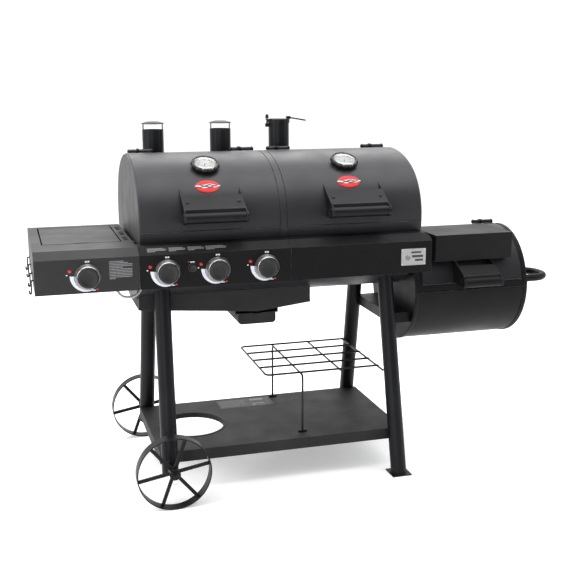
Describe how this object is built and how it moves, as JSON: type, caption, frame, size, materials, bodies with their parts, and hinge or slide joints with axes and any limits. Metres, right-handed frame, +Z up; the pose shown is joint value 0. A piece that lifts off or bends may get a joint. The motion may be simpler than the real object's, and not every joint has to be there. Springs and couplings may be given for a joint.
{
  "type": "offset smoker",
  "caption": "Oval barrel grill with gas and charcoal chambers, a round offset firebox, a side burner table and a wheeled stand with a wire rack.",
  "frame": {"origin": "floor under the middle of the whole object", "axes": "+X to the firebox end, +Y to the back, +Z up"},
  "size_m": [1.9839, 0.784, 1.27],
  "materials": {
    "lid_paint": "satin black powder coat",
    "panel_paint": "satin black powder coat",
    "stand_paint": "semi-gloss black powder coat",
    "wire_black": "gloss black coated wire",
    "bezel_chrome": "polished",
    "knob_black": "moulded, fine texture",
    "grate_iron": "seasoned",
    "bare_steel": "brushed",
    "hose_silver": "braided sleeve",
    "gauge_case": "satin",
    "gauge_face": "printed",
    "gauge_glass": "clear",
    "emblem_red": "enamel",
    "print_white": "printed marks"
  },
  "bodies": {
    "smoker_frame": {"axle": "bare_steel", "barrel_shell": "lid_paint", "bottom_shelf": "panel_paint", "burner_tubes": "bare_steel", "chamber_divider": "lid_paint", "charcoal_cooking_grate": "grate_iron", "charcoal_stack": "stand_paint", "coal_tray": "bare_steel", "control_panel": "panel_paint", "fire_grate": "grate_iron", "firebox_bracket": "stand_paint", "firebox_left_end": "lid_paint", "firebox_lower_shell": "lid_paint", "firebox_right_end": "lid_paint", "firebox_upper_shell": "lid_paint", "front_left_leg": "stand_paint", "front_right_leg": "stand_paint", "front_shelf": "panel_paint", "gas_cooking_grate": "grate_iron", "gas_hose": "hose_silver", "gas_manifold": "bare_steel", "gas_stacks": "stand_paint", "grease_pan": "panel_paint", "heat_tents": "bare_steel", "knob_bezels": "bezel_chrome", "left_end_cap": "lid_paint", "lid_hinge_pins": "stand_paint", "rain_caps": "stand_paint", "rear_left_leg": "stand_paint", "rear_right_leg": "stand_paint", "right_end_cap": "lid_paint", "side_burner": "grate_iron", "side_burner_grate": "grate_iron", "side_burner_tray": "bare_steel", "side_table": "panel_paint", "tool_hooks": "wire_black", "warming_racks": "bare_steel", "wire_rack": "wire_black"},
    "gas_lid": {"gas_lid": "lid_paint", "gas_lid_handle": "stand_paint", "gas_gauge": "gauge_case"},
    "charcoal_lid": {"charcoal_lid": "lid_paint", "charcoal_lid_handle": "stand_paint", "charcoal_gauge": "gauge_case"},
    "firebox_lid": {"firebox_lid": "lid_paint", "firebox_lid_shelf": "lid_paint", "firebox_lid_handle": "stand_paint"},
    "side_burner_lid": {"side_burner_lid": "panel_paint"},
    "burner_knob_left": {"burner_knob_left": "knob_black"},
    "burner_knob_middle": {"burner_knob_middle": "knob_black"},
    "burner_knob_right": {"burner_knob_right": "knob_black"},
    "side_burner_knob": {"side_burner_knob": "knob_black"},
    "igniter_button": {"igniter_button": "knob_black"},
    "stack_damper": {"stack_damper": "stand_paint"},
    "ash_drawer": {"ash_drawer": "lid_paint"},
    "air_damper": {"air_damper": "lid_paint"},
    "grease_cup": {"grease_cup": "panel_paint"},
    "front_wheel": {"front_wheel": "stand_paint"},
    "rear_wheel": {"rear_wheel": "stand_paint"}
  },
  "joints": [
    {"name": "gas_lid_hinge", "type": "hinge", "parent": "smoker_frame", "child": "gas_lid", "pos_m": [-0.4, 0.075, 1.152], "axis": [-1, 0, 0], "range_deg": [0, 90]},
    {"name": "charcoal_lid_hinge", "type": "hinge", "parent": "smoker_frame", "child": "charcoal_lid", "pos_m": [0.09, 0.075, 1.152], "axis": [-1, 0, 0], "range_deg": [0, 90]},
    {"name": "firebox_lid_hinge", "type": "hinge", "parent": "smoker_frame", "child": "firebox_lid", "pos_m": [0.576, 0.038, 0.853], "axis": [-1, 0, 0], "range_deg": [0, 90]},
    {"name": "side_burner_lid_hinge", "type": "hinge", "parent": "smoker_frame", "child": "side_burner_lid", "pos_m": [-0.8165, 0.134, 0.8806], "axis": [-1, 0, 0], "range_deg": [0, 100]},
    {"name": "burner_knob_left_turn", "type": "hinge", "parent": "smoker_frame", "child": "burner_knob_left", "pos_m": [-0.568, -0.38, 0.807], "axis": [0, -1, 0], "range_deg": [0, 180]},
    {"name": "burner_knob_middle_turn", "type": "hinge", "parent": "smoker_frame", "child": "burner_knob_middle", "pos_m": [-0.4065, -0.38, 0.807], "axis": [0, -1, 0], "range_deg": [0, 180]},
    {"name": "burner_knob_right_turn", "type": "hinge", "parent": "smoker_frame", "child": "burner_knob_right", "pos_m": [-0.245, -0.38, 0.807], "axis": [0, -1, 0], "range_deg": [0, 180]},
    {"name": "side_burner_knob_turn", "type": "hinge", "parent": "smoker_frame", "child": "side_burner_knob", "pos_m": [-0.815, -0.38, 0.807], "axis": [0, -1, 0], "range_deg": [0, 180]},
    {"name": "igniter_press", "type": "slide", "parent": "smoker_frame", "child": "igniter_button", "axis": [0, 1, 0], "range_m": [0, 0.0025], "stiffness_N_per_m": 400},
    {"name": "stack_damper_swing", "type": "hinge", "parent": "smoker_frame", "child": "stack_damper", "pos_m": [-0.095, 0.17, 1.252], "axis": [0, 0, 1], "range_deg": [0, 90]},
    {"name": "ash_drawer_slide", "type": "slide", "parent": "smoker_frame", "child": "ash_drawer", "axis": [1, 0, 0], "range_m": [0, 0.35]},
    {"name": "air_damper_turn", "type": "hinge", "parent": "ash_drawer", "child": "air_damper", "pos_m": [0.8055, 0, 0.545], "axis": [1, 0, 0], "range_deg": [0, 60]},
    {"name": "grease_cup_slide", "type": "slide", "parent": "smoker_frame", "child": "grease_cup", "axis": [0, -1, 0], "range_m": [0, 0.18]},
    {"name": "front_wheel_spin", "type": "hinge", "parent": "smoker_frame", "child": "front_wheel", "pos_m": [-0.56212, -0.345, 0.125], "axis": [0, 1, 0], "continuous": true},
    {"name": "rear_wheel_spin", "type": "hinge", "parent": "smoker_frame", "child": "rear_wheel", "pos_m": [-0.56212, 0.345, 0.125], "axis": [0, 1, 0], "continuous": true}
  ]
}
